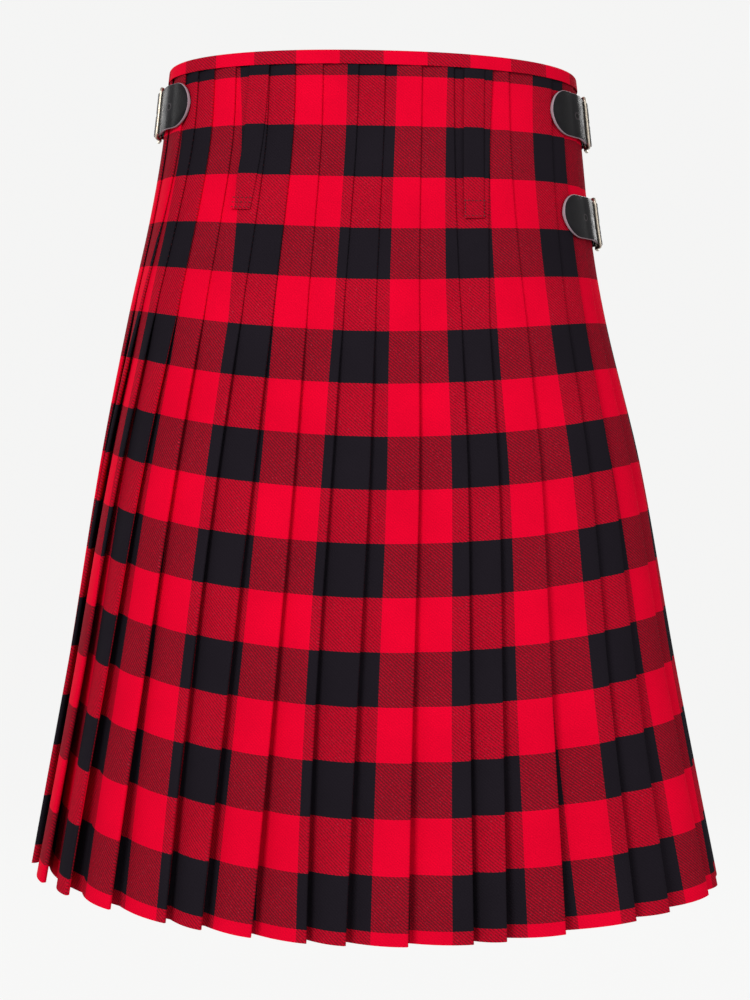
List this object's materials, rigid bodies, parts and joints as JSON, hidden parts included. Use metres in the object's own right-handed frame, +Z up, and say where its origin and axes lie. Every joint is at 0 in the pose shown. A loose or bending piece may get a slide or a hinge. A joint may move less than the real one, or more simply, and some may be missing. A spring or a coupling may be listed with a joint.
{
  "type": "scottish kilt",
  "caption": "Man's kilt in a red and black check, knife-pleated across the back, with plain overlapping aprons, belt loops and three buckled leather straps.",
  "frame": {"origin": "centre of the waist ring at the height of the waistband's top edge, where the kilt is held", "axes": "+Z up along the body, +X towards the wearer's right, +Y towards the front, so the pleated back faces -Y"},
  "size_m": [0.4936, 0.3225, 0.6052],
  "materials": {
    "check_cloth": "worsted wool twill in a red and black check",
    "band_cloth": "the same wool twill, cut as narrow strips",
    "black_leather": "smooth, semi-gloss",
    "buckle_metal": "nickel-plated, polished"
  },
  "bodies": {
    "root": {"over_apron": "check_cloth", "under_apron": "check_cloth", "pleats_left": "check_cloth", "pleats_right": "check_cloth", "waistband": "band_cloth", "belt_loop_left": "band_cloth", "belt_loop_right": "band_cloth", "strap_left_waist": "black_leather", "strap_right_waist": "black_leather", "strap_right_hip": "black_leather", "chape_left_waist": "black_leather", "chape_right_waist": "black_leather", "chape_right_hip": "black_leather", "buckle_left_waist": "buckle_metal", "buckle_right_waist": "buckle_metal", "buckle_right_hip": "buckle_metal", "prong_left_waist": "buckle_metal", "prong_right_waist": "buckle_metal", "prong_right_hip": "buckle_metal"}
  },
  "joints": []
}
